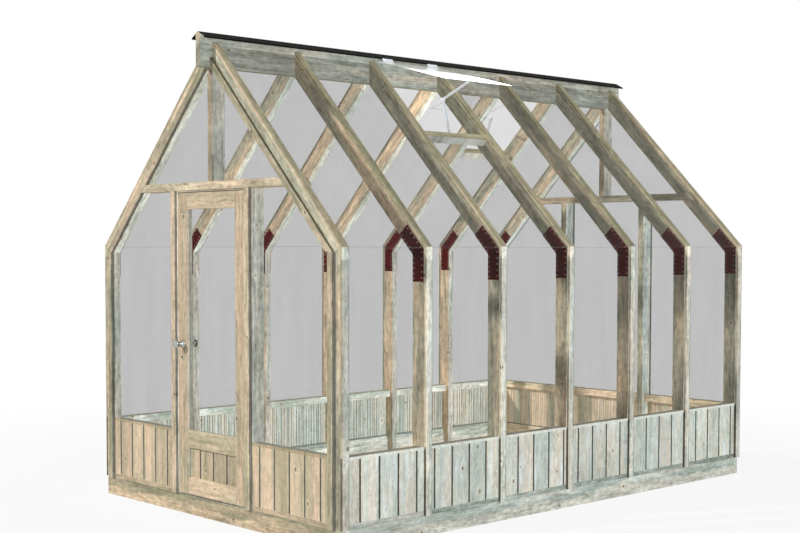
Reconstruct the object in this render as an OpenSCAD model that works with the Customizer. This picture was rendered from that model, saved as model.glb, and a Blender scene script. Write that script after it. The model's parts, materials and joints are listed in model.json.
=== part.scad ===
// Timber greenhouse with glass walls and roof, board apron, hinged door and two open roof vents.
// The ridge runs along Y, the door is in the gable at -Y, and the origin is at ground level in the plan centre.

/* [Frame] */
// Spacing of the portal frames along the length
bay = 615; // [520:1:720]
// Number of bays between portal frames
bays = 6; // [4:1:8]
// Width over the posts
frame_w = 2298; // [2000:1:2600]
// Height of the outer corner where a post meets its rafter
eave_h = 1602; // [1450:1:1750]
// Roof pitch in degrees
pitch = 46; // [42:0.5:50]
// Thickness of the framing timber
timber = 48; // [40:1:56]
// Depth of posts, rafters, rails and studs
depth = 90; // [75:1:105]

/* [Base] */
// Height of the base sill
sill_h = 115; // [90:1:140]
// Thickness of the base sill
sill_t = 36; // [28:1:45]
// Height of the board apron's top above the ground
apron_h = 500; // [420:1:600]
// Thickness of the apron boards
board_t = 18; // [14:1:22]
// Height of the rail behind the apron's top edge
apron_rail_h = 50; // [40:1:70]
// Height of the base rail between the sill and the boards
base_rail_h = 28; // [20:1:40]

/* [Glazing] */
// Thickness of the glass
glass_t = 4; // [3:0.5:6]
// Thickness of the cover laths over the glass
lath_t = 14; // [10:1:20]
// Width of the laths along the gable frames
gable_lath_w = 41; // [34:1:48]
// Distance of the gable laths from the frame's inner edge
gable_lath_set = 5; // [0:1:10]
// Width of the laths on the door jambs
jamb_lath_w = 43; // [36:1:48]
// Width of the rib under a lath that parts two panes
rib_w = 10; // [6:1:14]
// Lap of a pane over the timber below its edge
pane_lap = 15; // [10:1:25]
// Gap between a pane's edge and the timber beside it
pane_gap = 5; // [3:1:8]

/* [Ridge] */
// Depth of the ridge beam
ridge_h = 201; // [170:1:230]
// Rise of the ridge beam's peak over the rafters
ridge_rise = 79; // [60:1:100]
// Overhang of the ridge beam past each gable
ridge_overhang = 82; // [40:1:120]
// Half width of the folded ridge cap
cap_reach = 61; // [45:1:80]
// Drop of the ridge cap from its fold to its edges
cap_drop = 34; // [24:1:44]
// Thickness of the ridge cap's sheet
cap_t = 1.5; // [1:0.5:3]

/* [Knee plates] */
// Width of a knee plate's legs
plate_w = 84; // [60:1:84]
// Distance of a knee plate's outer edge from the outside of the frame
plate_edge = 6; // [2:1:12]
// Length of a knee plate's legs from the eave corner
plate_leg = 187; // [140:1:240]
// Thickness of a knee plate
plate_t = 2; // [1.5:0.5:4]

/* [Gables] */
// Height of the underside of the gable rail
gable_rail_z = 1940; // [1880:1:2000]
// Height of the gable rail's section
gable_rail_h = 48; // [40:1:60]
// Clear width between the door jambs
door_opening = 686; // [620:1:760]

/* [Door] */
// Gap around the door leaf
door_gap = 7; // [6:0.5:10]
// Thickness of the door leaf
door_t = 36; // [30:1:44]
// Width of the door stiles
stile_w = 100; // [80:1:120]
// Height of the door's top and bottom rails
door_rail_h = 102; // [80:1:120]
// Height of the door's middle rail
door_mid_h = 109; // [80:1:130]
// Top of the door's middle rail above the ground
door_mid_top = 510; // [460:1:560]
// Thickness of the door's board panel
door_panel_t = 15; // [12:1:18]
// Setback of the door's panel and glass from its face
door_setback = 14; // [8:1:16]
// Height of the door knob above the ground
knob_z = 1023; // [950:1:1100]
// Diameter of the door knob
knob_d = 53; // [45:1:60]
// Projection of the door knob
knob_out = 62; // [54:1:70]

/* [Hinges] */
// Diameter of the hinge barrels
barrel_d = 10; // [9:0.5:12]
// Diameter of the hinge pins
pin_d = 6; // [5:0.5:6.5]
// Length of a hinge
hinge_len = 78; // [60:1:100]
// Distance of each hinge's middle from the end of the door
hinge_inset = 200; // [150:1:280]
// Width of the hinge leaf on the door's face
hinge_leaf_w = 24; // [18:1:40]
// Thickness of the hinge leaves
hinge_leaf_t = 2; // [1.5:0.25:2.5]

/* [Roof vents] */
// Bay that holds the right roof's vent, counted from the front
right_vent_bay = 3; // [1:1:4]
// Bay that holds the left roof's vent, counted from the front
left_vent_bay = 5; // [1:1:8]
// Length of a vent pane down the slope
vent_len = 669; // [560:1:720]
// Angle that the vents are held open
vent_open = 31; // [10:1:40]
// Distance of the trimmer's upper edge from the ridge beam, down the slope
trimmer_at = 612; // [540:1:640]
// Depth of the trimmer under the roof
trimmer_t = 54; // [40:1:66]
// Width of a vent hinge
vent_hinge_w = 104; // [60:1:130]
// Spacing of the two hinges of a vent
vent_hinge_gap = 405; // [300:1:440]
// Width of the opener's arms
opener_w = 20; // [14:1:30]
// Thickness of the opener's arms
opener_t = 8; // [5:1:12]

/* [Hidden] */

$fn = 48;

// Plan and section of the frame
half_w = frame_w / 2;
half_l = (bays * bay + timber) / 2;
tan_p = tan(pitch);
cos_p = cos(pitch);
sin_p = sin(pitch);
skin_t = glass_t + lath_t;
ridge_x = timber / 2;
post_in = half_w - depth;

// Height of a roof layer that lies off outside the rafters, at x from the middle
function roof_z(x, off) = eave_h + off / cos_p + (half_w - x) * tan_p;
// Distance from the middle where a roof layer has the height z
function roof_x(z, off) = half_w - (z - eave_h - off / cos_p) / tan_p;
// Corner where a wall layer and a roof layer that lie off outside the frame meet
function eave(off) = [half_w + off, eave_h + off * (1 - sin_p) / cos_p];
// Front face of frame i
function frame_y(i) = i * bay - half_l;

ridge_z1 = roof_z(ridge_x, 0) + ridge_rise;
ridge_z0 = ridge_z1 - ridge_h;
bevel_drop = cap_drop * ridge_x / cap_reach;
ridge_len = 2 * (half_l + ridge_overhang);

// Joint between the post lath and the rafter lath of a gable
mitre_gap = 1;
// Side clearance of the wall and roof panes in their ribs, and their slack under the laths
glass_clear = 1;
glass_slack = 0.1;
pane_t = glass_t - glass_slack;
// Height where the apron boards start
board_z = sill_h + base_rail_h;
// Height where the wall and gable panes start
pane_z = apron_h - pane_lap;
// Outer edge of the gable panes, measured from the frame's outer face
gable_pane_off = gable_lath_set + gable_lath_w - rib_w - depth;
gable_rail_top = gable_rail_z + gable_rail_h;
// Clearance of the rail's ends under the roof glass
rail_end_clear = 3;
gable_pane_split = gable_rail_z + gable_rail_h / 2;

jamb_in = door_opening / 2;
jamb_out = jamb_in + timber;

// Door leaf
leaf_half_w = jamb_in - door_gap;
leaf_z0 = sill_h + door_gap;
leaf_z1 = gable_rail_z - door_gap;
stile_in = leaf_half_w - stile_w;
door_mid_low = door_mid_top - door_mid_h;
knob_x = stile_w / 2 - leaf_half_w;
rosette_d = 50;
rosette_t = 5;
knob_neck_d = 24;
knob_disc_t = 18;
lock_d = 34;
lock_t = 4;
lock_drop = 80;

// Door hinges: the pins stand clear of the jamb lath, just in front of the leaf
barrel_clear = 1.5;
pin_clear = 0.05;
barrel_gap = 0.3;
knuckles = 3;
knuckle_len = hinge_len / knuckles;
hinge_x = jamb_in - barrel_d / 2 - hinge_leaf_t / 2;
hinge_y = -half_l - barrel_d / 2 - barrel_clear;
jamb_leaf_share = 0.6;
hinge_zs = [leaf_z0 + hinge_inset, leaf_z1 - hinge_inset];

// Roof vents: the pane lies on the laths when it is shut
vent_clear = 6;
vent_angle = pitch - vent_open;
vent_hinge_x = ridge_x + vent_clear;
vent_hinge_z = roof_z(vent_hinge_x, skin_t + vent_clear);
vent_w = bay - pane_gap;
vent_strap_len = 38;
vent_strap_t = 5;
vent_block_drop = 10;
// Bay of the vent in the roof of side s, counted from zero
function vent_row(s) = min(s > 0 ? right_vent_bay : left_vent_bay, bays) - 1;
function vent_mid_y(s) = frame_y(vent_row(s)) + (bay + timber) / 2;
// Point of a vent at s down its pane and n above its underside
function vent_point(s, n) = [
  vent_hinge_x + s * cos(vent_angle) + n * sin(vent_angle),
  vent_hinge_z - s * sin(vent_angle) + n * cos(vent_angle)
];
// Point of the roof at s down the slope from the ridge beam and off above the rafters
function slope_point(s, off) = [
  ridge_x + s * cos_p + off * sin_p,
  roof_z(ridge_x, 0) - s * sin_p + off * cos_p
];

// Opener: a lug under the pane, an elbow, and a foot on the trimmer's upper face
lug_share = 0.85;
lug_drop = 16;
lug_len = 40;
elbow_back = 218;
elbow_drop = 89;
foot_share = 0.5;
foot_len = 28;
lug_at = vent_point(vent_len * lug_share, -lug_drop);
elbow_at = lug_at - [elbow_back, elbow_drop];
foot_at = slope_point(trimmer_at - opener_t / 2, -trimmer_t * foot_share);

wood = [0.78, 0.72, 0.58];
pale_wood = [0.74, 0.76, 0.68];
board_wood = [0.80, 0.74, 0.62];
clear_glass = [0.80, 0.86, 0.86, 0.35];
plate_red = [0.26, 0.08, 0.09];
cap_black = [0.12, 0.12, 0.11];
bright_metal = [0.86, 0.87, 0.88];

// Helpers

// Draws a section in X and Z, thick along Y from y
module across(y, thick) {
  translate([0, y + thick, 0])
    rotate([90, 0, 0])
      linear_extrude(thick)
        children();
}

// Right side for 1, left side for -1
module side(s) {
  mirror([s < 0 ? 1 : 0, 0, 0]) children();
}

// Front gable for -1, back gable for 1
module gable_end(s) {
  mirror([0, s > 0 ? 1 : 0, 0]) children();
}

// Box from one corner to the opposite one
module block(low, high) {
  translate(low) cube(high - low);
}

// Section of a roof layer between two offsets, from the eave up to the ridge beam
module roof_band(low, high) {
  polygon([
    eave(low),
    eave(high),
    [ridge_x, roof_z(ridge_x, high)],
    [ridge_x, roof_z(ridge_x, low)]
  ]);
}

// Section of a wall layer between two offsets, from z up to the eave
module wall_band(low, high, z) {
  polygon([[half_w + low, z], [half_w + high, z], eave(high), eave(low)]);
}

// Span along Y of the rib under the lath of frame i; it fills the lath's free half at the gables
function rib_start(i) = i == 0 ? frame_y(i) : frame_y(i) + (timber - rib_w) / 2;
function rib_end(i) = i == bays ? frame_y(i) + timber : frame_y(i) + (timber + rib_w) / 2;

// Sills

module gable_sills() {
  color(pale_wood)
    for (s = [-1, 1])
      gable_end(s)
        block([-half_w, -half_l, 0], [half_w, sill_t - half_l, sill_h]);
}

module side_sills() {
  color(pale_wood)
    for (s = [-1, 1])
      side(s)
        block([half_w - sill_t, sill_t - half_l, 0], [half_w, half_l - sill_t, sill_h]);
}

// Portal frames

module post(i) {
  on_sill = i == 0 || i == bays;
  foot = on_sill
    ? [[post_in, sill_h], [half_w, sill_h]]
    : [[post_in, 0], [half_w - sill_t, 0], [half_w - sill_t, sill_h], [half_w, sill_h]];
  across(frame_y(i), timber)
    polygon(concat(foot, [eave(0), eave(-depth)]));
}

module posts(s) {
  color(wood)
    side(s)
      for (i = [0:bays])
        post(i);
}

module rafters(s) {
  color(wood)
    side(s)
      for (i = [0:bays])
        across(frame_y(i), timber)
          roof_band(-depth, 0);
}

module left_posts() { posts(-1); }
module right_posts() { posts(1); }
module left_rafters() { rafters(-1); }
module right_rafters() { rafters(1); }

// Boomerang of steel over the joint of post and rafter
module knee_plate_shape() {
  high = -plate_edge;
  low = high - plate_w;
  along = plate_leg * [-cos_p, sin_p];
  polygon([
    [half_w + low, eave_h - plate_leg],
    [half_w + high, eave_h - plate_leg],
    eave(high),
    eave(high) + along,
    eave(high) + along - plate_w * [sin_p, cos_p],
    eave(low)
  ]);
}

module knee_plates(s) {
  color(plate_red)
    side(s)
      for (i = [0:bays]) {
        if (i > 0)
          across(frame_y(i) - plate_t, plate_t) knee_plate_shape();
        if (i < bays)
          across(frame_y(i) + timber, plate_t) knee_plate_shape();
      }
}

module left_knee_plates() { knee_plates(-1); }
module right_knee_plates() { knee_plates(1); }

// Ridge

module ridge_beam() {
  color(wood)
    across(-ridge_len / 2, ridge_len)
      polygon([
        [-ridge_x, ridge_z0],
        [ridge_x, ridge_z0],
        [ridge_x, ridge_z1 - bevel_drop],
        [0, ridge_z1],
        [-ridge_x, ridge_z1 - bevel_drop]
      ]);
}

module ridge_cap() {
  edge_z = ridge_z1 - cap_drop;
  color(cap_black)
    across(-ridge_len / 2, ridge_len)
      polygon([
        [-cap_reach, edge_z],
        [0, ridge_z1],
        [cap_reach, edge_z],
        [cap_reach, edge_z + cap_t],
        [0, ridge_z1 + cap_t],
        [-cap_reach, edge_z + cap_t]
      ]);
}

// Cover laths

module wall_laths(s) {
  color(pale_wood)
    side(s)
      for (i = [0:bays])
        union() {
          across(frame_y(i), timber) wall_band(glass_t, skin_t, sill_h);
          across(rib_start(i), rib_end(i) - rib_start(i)) wall_band(0, glass_t, sill_h);
          block([half_w, frame_y(i), sill_h], [half_w + glass_t, frame_y(i) + timber, pane_z]);
        }
}

module roof_laths(s) {
  color(pale_wood)
    side(s)
      for (i = [0:bays])
        union() {
          across(frame_y(i), timber) roof_band(glass_t, skin_t);
          across(rib_start(i), rib_end(i) - rib_start(i)) roof_band(0, glass_t);
        }
}

module left_wall_laths() { wall_laths(-1); }
module right_wall_laths() { wall_laths(1); }
module left_roof_laths() { roof_laths(-1); }
module right_roof_laths() { roof_laths(1); }

// Section of a gable's post lath, which ends just short of the rafter lath
module gable_post_band(low, high) {
  mitre = [0, mitre_gap];
  polygon([
    [half_w + low, sill_h],
    [half_w + high, sill_h],
    eave(high) - mitre,
    eave(low) - mitre
  ]);
}

// Laths beside the inner edge of a gable frame, with a rib outside the glass
module gable_laths(s) {
  low = gable_lath_set - depth;
  high = low + gable_lath_w;
  color(wood)
    gable_end(s)
      for (x = [-1, 1])
        side(x) {
          union() {
            across(-half_l - skin_t, lath_t) gable_post_band(low, high);
            across(-half_l - glass_t, glass_t) gable_post_band(high - rib_w, high);
            block(
              [half_w + low, -half_l - glass_t, sill_h],
              [half_w + high, -half_l, pane_z]
            );
          }
          union() {
            across(-half_l - skin_t, lath_t) roof_band(low, high);
            across(-half_l - glass_t, glass_t) roof_band(high - rib_w, high);
          }
        }
}

module front_gable_laths() { gable_laths(-1); }
module back_gable_laths() { gable_laths(1); }

// Gable framing

// Section of the rail's height, cut at both ends to the slope of a layer under the roof
module gable_rail_shape(off) {
  polygon([
    [-roof_x(gable_rail_z, off), gable_rail_z],
    [roof_x(gable_rail_z, off), gable_rail_z],
    [roof_x(gable_rail_top, off), gable_rail_top],
    [-roof_x(gable_rail_top, off), gable_rail_top]
  ]);
}

// The rail fits between the rafters, and its inner part runs on behind them
module gable_rail(s) {
  color(wood)
    gable_end(s)
      union() {
        across(-half_l, timber) gable_rail_shape(-depth);
        across(timber - half_l, depth - timber) gable_rail_shape(-rail_end_clear);
      }
}

module front_gable_rail() { gable_rail(-1); }
module back_gable_rail() { gable_rail(1); }

module king_posts() {
  color(wood)
    for (s = [-1, 1])
      gable_end(s)
        block([-ridge_x, -half_l, gable_rail_top], [ridge_x, depth - half_l, ridge_z0]);
}

// Pair of studs from the sill to the gable rail
module studs(s) {
  color(wood)
    gable_end(s)
      for (x = [-1, 1])
        side(x)
          block([jamb_in, -half_l, sill_h], [jamb_out, depth - half_l, gable_rail_z]);
}

module door_jambs() { studs(-1); }
module back_studs() { studs(1); }

// Lath on the gable rail, with a rib between the panes below and above it
module gable_rail_lath() {
  across(-half_l - skin_t, lath_t)
    gable_rail_shape(gable_lath_set - depth);
  across(-half_l - glass_t, glass_t)
    intersection() {
      gable_rail_shape(gable_lath_set - depth);
      translate([-half_w, gable_pane_split - rib_w / 2])
        square([frame_w, rib_w]);
    }
}

// Over the doorway there is no lower pane, so the lath is full there
module rail_laths() {
  color(wood) {
    union() {
      gable_end(-1) gable_rail_lath();
      block(
        [-jamb_in - rib_w, -half_l - glass_t, gable_rail_z],
        [jamb_in + rib_w, -half_l, gable_pane_split]
      );
    }
    gable_end(1) gable_rail_lath();
  }
}

// Laths on the door jambs, with the rib beside the doorway and glass on the other side
module jamb_laths() {
  color(wood)
    for (x = [-1, 1])
      side(x)
        union() {
          block(
            [jamb_in, -half_l - skin_t, sill_h],
            [jamb_in + jamb_lath_w, -half_l - glass_t, gable_rail_z]
          );
          block(
            [jamb_in, -half_l - glass_t, sill_h],
            [jamb_in + rib_w, -half_l, gable_rail_z]
          );
          block(
            [jamb_in, -half_l - glass_t, sill_h],
            [jamb_in + jamb_lath_w, -half_l, pane_z]
          );
        }
}

// Laths on the back studs, with the rib in the middle between two panes
module back_stud_laths() {
  mid = (jamb_in + jamb_out) / 2;
  color(wood)
    gable_end(1)
      for (x = [-1, 1])
        side(x)
          union() {
            block(
              [jamb_in, -half_l - skin_t, sill_h],
              [jamb_out, -half_l - glass_t, gable_rail_z]
            );
            block(
              [mid - rib_w / 2, -half_l - glass_t, sill_h],
              [mid + rib_w / 2, -half_l, gable_rail_z]
            );
            block([jamb_in, -half_l - glass_t, sill_h], [jamb_out, -half_l, pane_z]);
          }
}

// Board apron

module side_cladding(s) {
  color(board_wood)
    side(s)
      for (i = [0:bays - 1])
        block(
          [half_w - board_t, frame_y(i) + timber, board_z],
          [half_w, frame_y(i + 1), apron_h]
        );
}

module left_cladding() { side_cladding(-1); }
module right_cladding() { side_cladding(1); }

module gable_panel(x0, x1) {
  block([x0, -half_l, board_z], [x1, board_t - half_l, apron_h]);
}

module front_cladding() {
  color(board_wood)
    for (x = [-1, 1])
      side(x) gable_panel(jamb_out, post_in);
}

module back_cladding() {
  color(board_wood)
    gable_end(1) {
      gable_panel(-jamb_in, jamb_in);
      for (x = [-1, 1])
        side(x) gable_panel(jamb_out, post_in);
    }
}

// Rail behind the boards' top edge, and the base rail that they stand on
module side_apron_rails() {
  color(pale_wood)
    for (s = [-1, 1])
      side(s)
        for (i = [0:bays - 1]) {
          block(
            [half_w - board_t - timber, frame_y(i) + timber, apron_h - apron_rail_h],
            [half_w - board_t, frame_y(i + 1), apron_h]
          );
          block(
            [half_w - sill_t, frame_y(i) + timber, sill_h],
            [half_w, frame_y(i + 1), board_z]
          );
        }
}

module gable_top_rail(x0, x1) {
  block(
    [x0, board_t - half_l, apron_h - apron_rail_h],
    [x1, board_t + timber - half_l, apron_h]
  );
}

module gable_base_rail(x0, x1) {
  block([x0, -half_l, sill_h], [x1, sill_t - half_l, board_z]);
}

// The top rails of the gables stop short of the side rails inside the corners
module gable_apron_rails() {
  corner_x = half_w - board_t - timber;
  color(pale_wood)
    for (s = [-1, 1])
      gable_end(s) {
        for (x = [-1, 1])
          side(x) {
            gable_top_rail(jamb_out, min(post_in, corner_x));
            gable_base_rail(jamb_out, post_in);
          }
        if (s > 0) {
          gable_top_rail(-jamb_in, jamb_in);
          gable_base_rail(-jamb_in, jamb_in);
        }
      }
}

// Glass

function pane_start(i) = frame_y(i) + (timber + rib_w) / 2 + glass_clear;
function pane_end(i) = frame_y(i + 1) + (timber - rib_w) / 2 - glass_clear;

module wall_glass(s) {
  color(clear_glass)
    side(s)
      for (i = [0:bays - 1])
        across(pane_start(i), pane_end(i) - pane_start(i))
          wall_band(0, pane_t, pane_z);
}

// Section of the short roof pane below a vent, from the eave up onto the trimmer
module short_roof_band() {
  top = trimmer_at + timber - pane_lap;
  polygon([eave(0), eave(pane_t), slope_point(top, pane_t), slope_point(top, 0)]);
}

module roof_glass(s) {
  color(clear_glass)
    side(s)
      for (i = [0:bays - 1])
        across(pane_start(i), pane_end(i) - pane_start(i))
          if (i == vent_row(s))
            short_roof_band();
          else
            roof_band(0, pane_t);
}

module left_wall_glass() { wall_glass(-1); }
module right_wall_glass() { wall_glass(1); }
module left_roof_glass() { roof_glass(-1); }
module right_roof_glass() { roof_glass(1); }

// Pane beside a stud, up to the middle of the gable rail
module gable_side_pane(x0) {
  top = gable_pane_split - rib_w / 2;
  across(-half_l - glass_t, glass_t)
    polygon([
      [x0, pane_z],
      [half_w + gable_pane_off, pane_z],
      eave(gable_pane_off),
      [roof_x(top, gable_pane_off), top],
      [x0, top]
    ]);
}

// Glass in the gable's peak, over the king post and under the ridge beam
module gable_peak_pane() {
  low = gable_pane_split + rib_w / 2;
  high = ridge_z0 - pane_gap;
  across(-half_l - glass_t, glass_t)
    polygon([
      [-roof_x(low, gable_pane_off), low],
      [roof_x(low, gable_pane_off), low],
      [roof_x(high, gable_pane_off), high],
      [-roof_x(high, gable_pane_off), high]
    ]);
}

module front_gable_glass() {
  color(clear_glass) {
    gable_peak_pane();
    for (x = [-1, 1])
      side(x) gable_side_pane(jamb_in + rib_w);
  }
}

module back_gable_glass() {
  mid = (jamb_in + jamb_out) / 2;
  color(clear_glass)
    gable_end(1) {
      block(
        [rib_w / 2 - mid, -half_l - glass_t, pane_z],
        [mid - rib_w / 2, -half_l, gable_pane_split - rib_w / 2]
      );
      gable_peak_pane();
      for (x = [-1, 1])
        side(x) gable_side_pane(mid + rib_w / 2);
    }
}

// Roof vents

module vent_panes() {
  color(clear_glass)
    for (s = [-1, 1])
      side(s)
        across(vent_mid_y(s) - vent_w / 2, vent_w)
          polygon([
            vent_point(0, 0),
            vent_point(vent_len, 0),
            vent_point(vent_len, glass_t),
            vent_point(0, glass_t)
          ]);
}

// Block on the ridge beam with a strap over the edge of the pane
module vent_hinge_shape() {
  strap_top = glass_t + vent_strap_t;
  polygon([
    [ridge_x, vent_hinge_z - vent_block_drop],
    [vent_hinge_x, vent_hinge_z - vent_block_drop],
    vent_point(0, 0),
    vent_point(0, glass_t),
    vent_point(vent_strap_len, glass_t),
    vent_point(vent_strap_len, strap_top),
    vent_point(0, strap_top),
    [ridge_x, vent_point(0, strap_top)[1]]
  ]);
}

module vent_hinges() {
  color(bright_metal)
    for (s = [-1, 1])
      side(s)
        for (y = [-1, 1])
          across(vent_mid_y(s) + y * vent_hinge_gap / 2 - vent_hinge_w / 2, vent_hinge_w)
            vent_hinge_shape();
}

module vent_trimmers() {
  far = trimmer_at + timber;
  color(wood)
    for (s = [-1, 1])
      side(s)
        across(frame_y(vent_row(s)) + timber, bay - timber)
          polygon([
            slope_point(trimmer_at, -trimmer_t),
            slope_point(trimmer_at, 0),
            slope_point(far, 0),
            slope_point(far, -trimmer_t)
          ]);
}

// Bar with round ends from one point to another, in X and Z
module arm(from, to) {
  run = to - from;
  translate(from)
    rotate(atan2(run[1], run[0])) {
      translate([0, -opener_t / 2])
        square([norm(run), opener_t]);
      circle(d = opener_t);
      translate([norm(run), 0])
        circle(d = opener_t);
    }
}

// Plate of the given length, along a slope that falls at the given angle
module foot_plate(at, fall, length, low) {
  translate(at)
    rotate(-fall)
      translate([-length / 2, low])
        square([length, opener_t / 2]);
}

module vent_openers() {
  color(bright_metal)
    for (s = [-1, 1])
      side(s)
        across(vent_mid_y(s) - opener_w / 2, opener_w)
          union() {
            arm(foot_at, elbow_at);
            arm(elbow_at, lug_at);
            arm(lug_at, lug_at + (lug_drop - opener_t / 2) * [sin(vent_angle), cos(vent_angle)]);
            foot_plate(foot_at, pitch - 90, foot_len, -opener_t / 2);
            foot_plate(vent_point(vent_len * lug_share, 0), vent_angle, lug_len, -opener_t / 2);
          }
}

// Door

module door_stiles() {
  color(wood)
    for (x = [-1, 1])
      side(x)
        block([stile_in, -half_l, leaf_z0], [leaf_half_w, door_t - half_l, leaf_z1]);
}

module door_rail(z0, z1) {
  block([-stile_in, -half_l, z0], [stile_in, door_t - half_l, z1]);
}

module door_rails() {
  color(wood) {
    door_rail(leaf_z0, leaf_z0 + door_rail_h);
    door_rail(door_mid_low, door_mid_top);
    door_rail(leaf_z1 - door_rail_h, leaf_z1);
  }
}

module door_panel() {
  color(board_wood)
    block(
      [-stile_in, door_setback - half_l, leaf_z0 + door_rail_h],
      [stile_in, door_setback + door_panel_t - half_l, door_mid_low]
    );
}

module door_glass() {
  color(clear_glass)
    block(
      [-stile_in, door_setback - half_l, door_mid_top],
      [stile_in, door_setback + glass_t - half_l, leaf_z1 - door_rail_h]
    );
}

// Half section of a knob that stands on its rosette
module knob_section() {
  neck_end = knob_out - knob_disc_t;
  rim = knob_disc_t / 2;
  square([rosette_d / 2, rosette_t]);
  square([knob_neck_d / 2, knob_out - rim]);
  translate([0, neck_end])
    square([knob_d / 2 - rim, knob_disc_t]);
  translate([knob_d / 2 - rim, neck_end + rim])
    circle(d = knob_disc_t);
}

module knob() {
  rotate_extrude()
    knob_section();
}

module lock_plate() {
  cylinder(d = lock_d, h = lock_t);
}

module door_knobs() {
  color(bright_metal) {
    translate([knob_x, -half_l, knob_z])
      rotate([90, 0, 0]) {
        knob();
        translate([0, -lock_drop, 0]) lock_plate();
      }
    translate([knob_x, door_t - half_l, knob_z])
      rotate([-90, 0, 0]) {
        knob();
        translate([0, lock_drop, 0]) lock_plate();
      }
  }
}

// Hinges

// One knuckle of a hinge, counted from below, with running gaps at its ends
module knuckle(i) {
  translate([hinge_x, hinge_y, (i - knuckles / 2) * knuckle_len + barrel_gap / 2])
    cylinder(d = barrel_d, h = knuckle_len - barrel_gap);
}

// Fixed half: outer knuckles, the pin, and a leaf in the gap beside the jamb
module jamb_hinges() {
  leaf_x = jamb_in - hinge_leaf_t;
  pin_len = hinge_len - barrel_gap;
  color(bright_metal)
    for (z = hinge_zs)
      translate([0, 0, z])
        union() {
          translate([hinge_x, hinge_y, -pin_len / 2])
            cylinder(d = pin_d, h = pin_len);
          for (i = [0, knuckles - 1]) {
            knuckle(i);
            block(
              [leaf_x, hinge_y, (i - knuckles / 2) * knuckle_len + barrel_gap / 2],
              [jamb_in, -half_l, (i + 1 - knuckles / 2) * knuckle_len - barrel_gap / 2]
            );
          }
          block(
            [leaf_x, -half_l, -pin_len / 2],
            [jamb_in, door_t * jamb_leaf_share - half_l, pin_len / 2]
          );
        }
}

// Swinging half: the middle knuckle, bored for the pin, and a leaf on the door's face
module door_hinges() {
  low = -knuckle_len / 2 + barrel_gap / 2;
  color(bright_metal)
    for (z = hinge_zs)
      translate([0, 0, z])
        difference() {
          union() {
            knuckle((knuckles - 1) / 2);
            block(
              [hinge_x - barrel_d / 2, hinge_y, low],
              [hinge_x, -half_l, -low]
            );
            block(
              [hinge_x - hinge_leaf_w, -half_l - hinge_leaf_t, low],
              [hinge_x, -half_l, -low]
            );
          }
          translate([hinge_x, hinge_y, -hinge_len / 2])
            cylinder(d = pin_d + 2 * pin_clear, h = hinge_len);
        }
}

gable_sills();
side_sills();
left_posts();
right_posts();
left_rafters();
right_rafters();
left_knee_plates();
right_knee_plates();
ridge_beam();
ridge_cap();
left_wall_laths();
right_wall_laths();
left_roof_laths();
right_roof_laths();
front_gable_laths();
back_gable_laths();
front_gable_rail();
back_gable_rail();
rail_laths();
king_posts();
door_jambs();
jamb_laths();
back_studs();
back_stud_laths();
left_cladding();
right_cladding();
front_cladding();
back_cladding();
side_apron_rails();
gable_apron_rails();
left_wall_glass();
right_wall_glass();
left_roof_glass();
right_roof_glass();
front_gable_glass();
back_gable_glass();
vent_panes();
vent_hinges();
vent_trimmers();
vent_openers();
jamb_hinges();
door_stiles();
door_rails();
door_panel();
door_glass();
door_knobs();
door_hinges();
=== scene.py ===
import json
import math
import random

import bmesh
import bpy
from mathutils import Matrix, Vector


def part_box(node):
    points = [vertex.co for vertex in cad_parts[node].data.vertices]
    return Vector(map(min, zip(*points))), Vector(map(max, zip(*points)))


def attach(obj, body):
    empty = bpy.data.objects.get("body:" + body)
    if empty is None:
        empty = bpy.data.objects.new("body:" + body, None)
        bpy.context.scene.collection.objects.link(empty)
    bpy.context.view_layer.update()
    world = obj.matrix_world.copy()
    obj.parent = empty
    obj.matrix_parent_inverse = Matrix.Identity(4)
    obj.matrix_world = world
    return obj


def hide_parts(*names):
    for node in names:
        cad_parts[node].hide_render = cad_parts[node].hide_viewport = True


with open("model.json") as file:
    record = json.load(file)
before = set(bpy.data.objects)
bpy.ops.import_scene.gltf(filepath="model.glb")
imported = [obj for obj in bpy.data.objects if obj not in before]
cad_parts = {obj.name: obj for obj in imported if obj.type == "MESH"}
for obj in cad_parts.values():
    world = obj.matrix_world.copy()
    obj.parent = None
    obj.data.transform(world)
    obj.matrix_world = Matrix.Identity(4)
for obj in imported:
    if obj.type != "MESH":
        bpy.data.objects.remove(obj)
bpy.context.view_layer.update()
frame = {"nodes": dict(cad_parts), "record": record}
scene = bpy.context.scene
bodies = frame["record"]["behaviour"]["bodies"]
bodyOf = {node: body for body, group in bodies.items() for node in group}
print("frame loaded:", len(frame["nodes"]), "nodes")


# colours are written as screen values from 0 to 255
def rgb(red, green, blue):
    def linear(value):
        share = value / 255
        return share / 12.92 if share < 0.04045 else ((share + 0.055) / 1.055) ** 2.4
    return (linear(red), linear(green), linear(blue), 1.0)


# one socket; sums on it add Math nodes
class Wire:
    def __init__(self, graph, socket):
        self.graph = graph
        self.socket = socket

    def maths(self, operation, first, second):
        return self.graph.node("ShaderNodeMath", {"operation": operation}, {0: first, 1: second})

    def __add__(self, other):
        return self.maths("ADD", self, other)

    def __radd__(self, other):
        return self.maths("ADD", other, self)

    def __sub__(self, other):
        return self.maths("SUBTRACT", self, other)

    def __rsub__(self, other):
        return self.maths("SUBTRACT", other, self)

    def __mul__(self, other):
        return self.maths("MULTIPLY", self, other)

    def __rmul__(self, other):
        return self.maths("MULTIPLY", other, self)

    def __truediv__(self, other):
        return self.maths("DIVIDE", self, other)

    def __rtruediv__(self, other):
        return self.maths("DIVIDE", other, self)

    def __pow__(self, other):
        return self.maths("POWER", self, other)

    def __rpow__(self, other):
        return self.maths("POWER", other, self)

    def least(self, other):
        return self.maths("MINIMUM", self, other)

    def most(self, other):
        return self.maths("MAXIMUM", self, other)

    def out(self, name):
        return Wire(self.graph, self.socket.node.outputs[name])


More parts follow.
